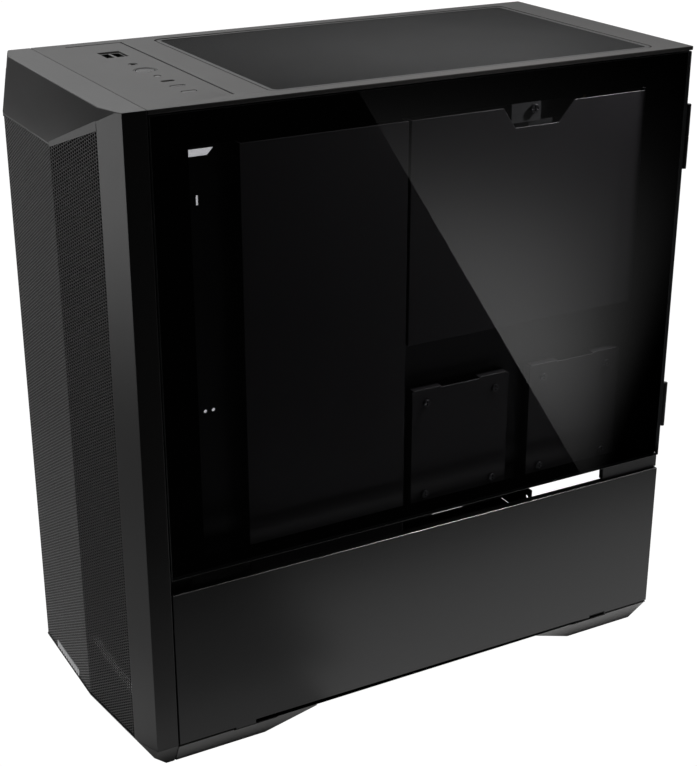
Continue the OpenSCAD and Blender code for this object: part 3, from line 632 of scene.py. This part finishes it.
brow_band("brow_band_right", 1)
brow_band("brow_band_left", -1)

# ---------------------------------------------------------------------------------------------
# Top. A moulded cover with a groove round the sockets and a recess in which a magnetic filter
# lies: a thin frame with a woven nylon mesh of crossing threads.

top_plastic = finish("top_plastic", (0.031, 0.0296, 0.0288), 0.42, 0.0009, 0.00003)
top_lit.objects.link(eased("top_cover", 0.0006, top_plastic, 3))
frame_plastic = finish("filter_frame", (0.026, 0.026, 0.0262), 0.45, 0.0007, 0.00001)
top_lit.objects.link(eased("top_filter_frame", 0.0004, frame_plastic))
thread_nylon = finish("nylon_thread", (0.042, 0.042, 0.0424), 0.8, 0.0004, 0.000002, specular=0.1)


def thread_bars(start, stop, across, width, low, high, lengthwise):
    """Square threads from start to stop at each place in across, eight points a thread."""
    side = np.array([-1, 1, 1, -1, -1, 1, 1, -1]) * width / 2
    level = np.array([low, low, high, high] * 2)
    along = np.array([start] * 4 + [stop] * 4)
    a = across[:, None] + side[None, :]
    b = np.broadcast_to(along, a.shape)
    pair = (a, b) if lengthwise else (b, a)
    points = np.stack([*pair, np.broadcast_to(level, a.shape)], -1).reshape(-1, 3)
    six = np.array([[0, 1, 2, 3], [7, 6, 5, 4], [0, 4, 5, 1], [1, 5, 6, 2], [2, 6, 7, 3], [3, 7, 4, 0]])
    six = six[:, ::-1] if lengthwise else six
    faces = (six[None] + 8 * np.arange(len(across))[:, None, None]).reshape(-1, 4)
    return points, faces


def woven(name, node, low, high, level, pitch, thread, material, replaces=True):
    """Mesh of threads along Y lying on threads along X, pitch metres apart, between two corners."""
    x = np.arange(low[0] + pitch / 2, high[0], pitch)
    y = np.arange(low[1] + pitch / 2, high[1], pitch)
    crossing = level + thread * 0.2
    warp, warp_faces = thread_bars(low[1], high[1], x, thread, level, level + thread, True)
    weft, weft_faces = thread_bars(low[0], high[0], y, thread, crossing - thread, crossing, False)
    points = np.concatenate([warp, weft])
    faces = np.concatenate([warp_faces, weft_faces + len(warp)])
    return fitted(mesh_piece(name, points, faces, material), node, replaces)


net_low, net_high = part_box("top_filter_mesh")
top_lit.objects.link(woven(
    "top_filter_net", "top_filter_mesh", net_low, net_high, (net_low.z + net_high.z) / 2,
    0.00125, 0.00048, thread_nylon,
))

# ---------------------------------------------------------------------------------------------
# Sockets and buttons. A board under the cover carries a block of two flat sockets, an audio
# jack, a small oval socket, a round power button in a ring, a reset button and two oval ones.

board_mask = finish("solder_mask", (0.012, 0.05, 0.025), 0.35, 0.001, 0.000004)
eased("io_board", 0.0002, board_mask)
socket_black = finish("socket_plastic", (0.012, 0.012, 0.012), 0.35, 0.0006, 0.000006)
eased("usb_ports", 0.0002, socket_black)
socket_plate = finish("socket_plating", (0.42, 0.42, 0.44), 0.25, 0.0005, 0.000003, metallic=1.0)
eased("usb_c_port", 0.00015, socket_plate)
eased("audio_jack", 0.00015, socket_black)
eased("power_ring", 0.0003, finish("ring_paint", (0.05, 0.05, 0.052), 0.3, 0.0006, 0.000004))
button_black = finish("button_black", (0.018, 0.018, 0.019), 0.25, 0.0007, 0.000004)
eased("power_button", 0.0006, button_black, 3)
eased("mode_button", 0.0004, button_black)
button_pale = finish("button_pale", (0.3, 0.3, 0.3), 0.35, 0.0007, 0.000004)
for node in ("reset_button", "color_button"):
    eased(node, 0.0004, button_pale)

# ---------------------------------------------------------------------------------------------
# Glass doors. Each is 4 mm smoke-tinted tempered glass with ground edges. A black border is
# printed on its inner face, wider at the back, where two steel hinge leaves are bonded to it.


def smoked_glass(name, tint, mirror_index):
    """Glass that passes the tint at each face and mirrors by Fresnel's law on the outward faces."""
    material = bpy.data.materials.new(name)
    material.use_nodes = True
    tree = material.node_tree
    tree.nodes.clear()
    clear = tree.nodes.new("ShaderNodeBsdfTransparent")
    clear.inputs["Color"].default_value = (*tint, 1)
    mirror = tree.nodes.new("ShaderNodeBsdfGlossy")
    mirror.inputs["Roughness"].default_value = 0.0
    law = tree.nodes.new("ShaderNodeFresnel")
    law.inputs["IOR"].default_value = mirror_index
    facing = tree.nodes.new("ShaderNodeNewGeometry")
    outward = tree.nodes.new("ShaderNodeMath")
    outward.operation = "SUBTRACT"
    outward.inputs[0].default_value = 1
    share = tree.nodes.new("ShaderNodeMath")
    share.operation = "MULTIPLY"
    both = tree.nodes.new("ShaderNodeMixShader")
    output = tree.nodes.new("ShaderNodeOutputMaterial")
    tree.links.new(facing.outputs["Backfacing"], outward.inputs[1])
    tree.links.new(law.outputs[0], share.inputs[0])
    tree.links.new(outward.outputs[0], share.inputs[1])
    tree.links.new(share.outputs[0], both.inputs[0])
    tree.links.new(clear.outputs[0], both.inputs[1])
    tree.links.new(mirror.outputs[0], both.inputs[2])
    tree.links.new(both.outputs[0], output.inputs["Surface"])
    return material


def round_loop(y0, y1, z0, z1, radius, steps=6):
    """Points (y, z) round a rectangle whose corners are arcs of the given radius."""
    angle = np.linspace(0, np.pi / 2, steps)
    left, right, low, high = y0 + radius, y1 - radius, z0 + radius, z1 - radius
    middles = [(right, high), (left, high), (left, low), (right, low)]
    arcs = []
    for quarter, (y, z) in enumerate(middles):
        turn = angle + quarter * np.pi / 2
        arcs.append(np.stack([y + radius * np.cos(turn), z + radius * np.sin(turn)], -1))
    return np.concatenate(arcs)


def printed_border(name, node, side):
    """Thin ring of black enamel between the edge of the glass and an opening with round corners."""
    low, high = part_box(node)
    inset, ink = 0.0002, 0.00006
    front, rear, bottom, top = 0.027, 0.0375, 0.011, 0.0235
    outer = round_loop(low.y + inset, high.y - inset, low.z + inset, high.z - inset, 0.002)
    inner = round_loop(low.y + front, high.y - rear, low.z + bottom, high.z - top, 0.003)
    skin = low.x if side > 0 else high.x
    rings = []
    for loop, depth in ((outer, 0), (outer, ink), (inner, ink), (inner, 0)):
        rings.append(np.concatenate([np.full((len(loop), 1), skin - side * depth), loop], 1))
    count = len(outer)
    ring = np.arange(count)
    following = (ring + 1) % count
    inner_wall = np.stack([3 * count + ring, 3 * count + following, following, ring], -1)
    faces = np.concatenate([grid_faces(4, count, closed=True), inner_wall])
    faces = faces if side > 0 else faces[:, ::-1]
    return fitted(mesh_piece(name, np.concatenate(rings), faces, enamel), node, replaces=False)


enamel = finish("black_enamel", (0.002, 0.002, 0.002), 0.4, 0.001, 0.000002, specular=0.0)
pane = smoked_glass("smoked_glass", (0.8, 0.8, 0.81), 1.6)
ground_edge = finish("ground_edge", (0.13, 0.135, 0.135), 0.4, 0.0004, 0.00001)
for side, name in ((1, "right"), (-1, "left")):
    door = eased("glass_door_" + name, 0.0004, pane, 1)
    door.data.materials.append(ground_edge)
    for face in door.data.polygons:
        face.material_index = int(abs(face.normal.x) < 0.5)
    door.modifiers["rounding"].material = 1
    printed_border("door_border_" + name, "glass_door_" + name, side)

hinge_coat = finish("hinge_coat", (0.02, 0.02, 0.021), 0.35, 0.0005, 0.000008)
for side in ("right", "left"):
    eased("door_hinges_" + side, 0.0003, hinge_coat)
    eased("hinge_brackets_" + side, 0.0003, hinge_coat)
eased("door_magnets", 0.0004, rubber)

# ---------------------------------------------------------------------------------------------
# Lower panels. Folded steel, a little lighter in sheen than the chassis, with two tongues that
# drop into the base plate.

panel_coat = finish("panel_powder_coat", (0.024, 0.024, 0.0245), 0.34, 0.0008, 0.00002)
for node in ("lower_panel_right", "lower_panel_left"):
    eased(node, 0.0005, panel_coat)

# The rim of the base plate is painted a lighter grey than its black coat: a painted highlight along its
# edge, which the hem lamp lights as well.
painted_rim_highlight = finish("painted_highlight_rim", (0.075, 0.0745, 0.074), 0.5, 0.0005, 0.000004)


def rolled_edge(name, node, side, rim, middle_z, gauge, stretches, material):
    """Rounded edge of a sheet, along Y: strips with a half-round outer edge, one for each stretch.
    The section is a half circle of half the gauge, its top at rim metres from the middle plane."""
    turn = np.linspace(-np.pi / 2, np.pi / 2, 7)
    outer = rim - gauge / 2 + gauge / 2 * np.cos(turn)
    level = middle_z + gauge / 2 * np.sin(turn)
    x = np.concatenate([[outer[0] - gauge], outer, [outer[0] - gauge]])
    z = np.concatenate([[level[0]], level, [level[-1]]])
    ring = np.arange(9)
    points, faces = [], []
    for start, stop in stretches:
        first = 9 * len(points)
        points += [np.stack([side * x, np.full(9, y), z], -1) for y in (start, stop)]
        quads = np.stack([ring, (ring + 1) % 9, (ring + 1) % 9 + 9, ring + 9], -1) + first
        block = [tuple(quad) for quad in quads] + [tuple(first + ring[::-1]), tuple(first + 9 + ring)]
        faces += block if side < 0 else [face[::-1] for face in block]
    piece = fitted(mesh_piece(name, np.concatenate(points), faces, material), node, replaces=False)
    hem_lit.objects.link(piece)


base_low, base_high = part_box("base_plate")
hem_gauge, end_gap = 0.001, 0.0005
front_notch, rear_notch = (-0.153, -0.115), (0.158, 0.195)
lip_stretches = [
    (base_low.y + 2 * end_gap, front_notch[0]), (front_notch[1], rear_notch[0]), (rear_notch[1], base_high.y)
]
for side, name in ((1, "right"), (-1, "left")):
    panel_low, panel_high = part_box("lower_panel_" + name)
    rim = max(abs(panel_low.x), abs(panel_high.x))
    rolled_edge(
        "panel_hem_" + name, "lower_panel_" + name, side, rim, panel_high.z - 0.0004, hem_gauge,
        [(panel_low.y + end_gap, panel_high.y - end_gap)], panel_coat,
    )
    rolled_edge(
        "base_lip_" + name, "base_plate", side, rim - 0.0001, base_low.z + hem_gauge / 2, hem_gauge,
        lip_stretches, painted_rim_highlight,
    )

# ---------------------------------------------------------------------------------------------
# Feet. Two at the front and two at the rear, moulded in light grey, slope in to the floor. Each
# stands on a rubber pad let in below.

foot_plastic = finish("foot_plastic", (0.2, 0.198, 0.196), 0.45, 0.0008, 0.000014)
for node in ("foot_front_pair", "foot_rear_pair"):
    eased(node, 0.0006, foot_plastic)
eased("foot_pads", 0.0004, rubber)

# ---------------------------------------------------------------------------------------------
# Power supply filter. A moulded frame under the base plate slides out to the rear along two
# folded steel rails.

eased("psu_filter", 0.0004, tray_plastic)
eased("filter_rails", 0.0003, chassis_coat)
